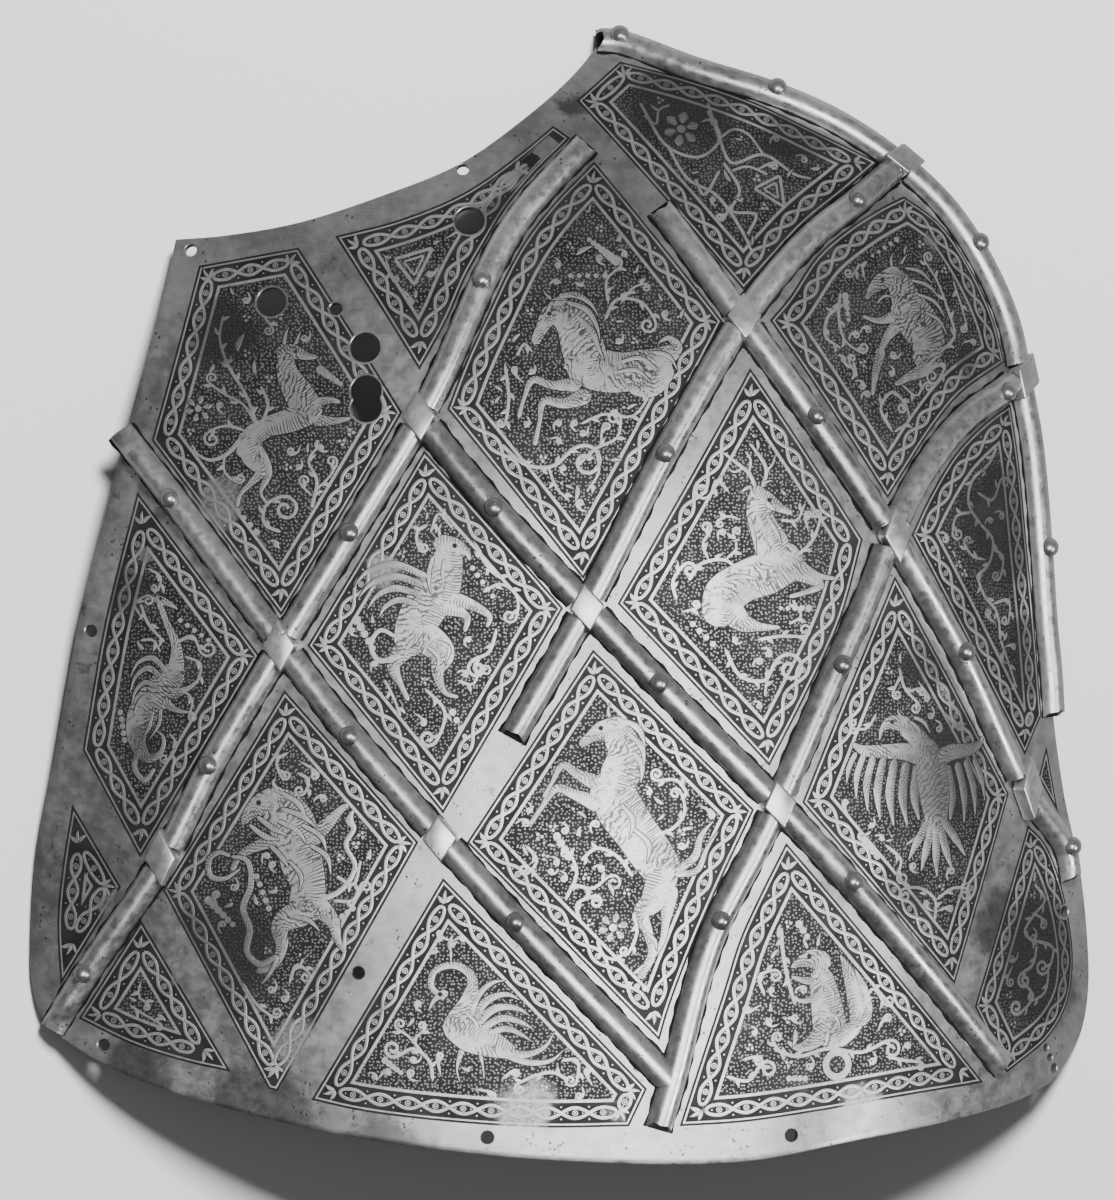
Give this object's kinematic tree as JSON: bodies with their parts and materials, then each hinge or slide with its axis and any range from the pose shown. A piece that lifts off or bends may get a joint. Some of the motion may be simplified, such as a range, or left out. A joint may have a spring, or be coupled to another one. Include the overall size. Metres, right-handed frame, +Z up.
{
  "type": "jousting targe",
  "caption": "Domed etched steel shield plate for the left shoulder and chest, with a riveted trellis of hollow half-round bars, lozenge bosses, and bolt and lace holes.",
  "frame": {"origin": "on the floor, under the middle of the part as it rests face up", "axes": "+X to the plate's right and +Y to its top as seen from the front, +Z up out of the front face"},
  "size_m": [0.4002, 0.4192, 0.0822],
  "materials": {
    "etched_steel": "etched and worn, satin",
    "bar_steel": "worn polish with small pits",
    "boss_steel": "filed flat, worn polish",
    "rivet_steel": "polished domes"
  },
  "bodies": {
    "root": {"plate": "etched_steel", "bar_left_rising_1": "bar_steel", "bar_left_rising_2": "bar_steel", "bar_left_rising_3": "bar_steel", "bar_left_rising_4": "bar_steel", "bar_middle_rising_1": "bar_steel", "bar_middle_rising_2": "bar_steel", "bar_middle_rising_3": "bar_steel", "bar_right_rising_1": "bar_steel", "bar_right_rising_2": "bar_steel", "bar_right_rising_3": "bar_steel", "bar_lower_falling_1": "bar_steel", "bar_lower_falling_2": "bar_steel", "bar_lower_falling_3": "bar_steel", "bar_main_falling_1": "bar_steel", "bar_main_falling_2": "bar_steel", "bar_main_falling_3": "bar_steel", "bar_upper_falling_1": "bar_steel", "bar_upper_falling_2": "bar_steel", "bar_upper_falling_3": "bar_steel", "bar_upper_falling_4": "bar_steel", "bar_edge_1": "bar_steel", "bar_edge_2": "bar_steel", "bar_edge_3": "bar_steel", "boss_shoulder": "boss_steel", "boss_hip": "boss_steel", "boss_low": "boss_steel", "boss_high": "boss_steel", "boss_heart": "boss_steel", "boss_flank": "boss_steel", "boss_belt": "boss_steel", "boss_foot": "boss_steel", "boss_step": "boss_steel", "boss_edge_high": "boss_steel", "boss_edge_flank": "boss_steel", "rivet_left_rising_1": "rivet_steel", "rivet_left_rising_2": "rivet_steel", "rivet_left_rising_3": "rivet_steel", "rivet_left_rising_4": "rivet_steel", "rivet_middle_rising_1": "rivet_steel", "rivet_middle_rising_2": "rivet_steel", "rivet_right_rising_1": "rivet_steel", "rivet_right_rising_2": "rivet_steel", "rivet_right_rising_3": "rivet_steel", "rivet_lower_falling_1": "rivet_steel", "rivet_lower_falling_2": "rivet_steel", "rivet_lower_falling_3": "rivet_steel", "rivet_main_falling_1": "rivet_steel", "rivet_main_falling_2": "rivet_steel", "rivet_main_falling_3": "rivet_steel", "rivet_upper_falling_1": "rivet_steel", "rivet_upper_falling_2": "rivet_steel", "rivet_upper_falling_3": "rivet_steel", "rivet_edge_1": "rivet_steel", "rivet_edge_2": "rivet_steel", "rivet_edge_3": "rivet_steel", "rivet_edge_4": "rivet_steel"}
  },
  "joints": []
}
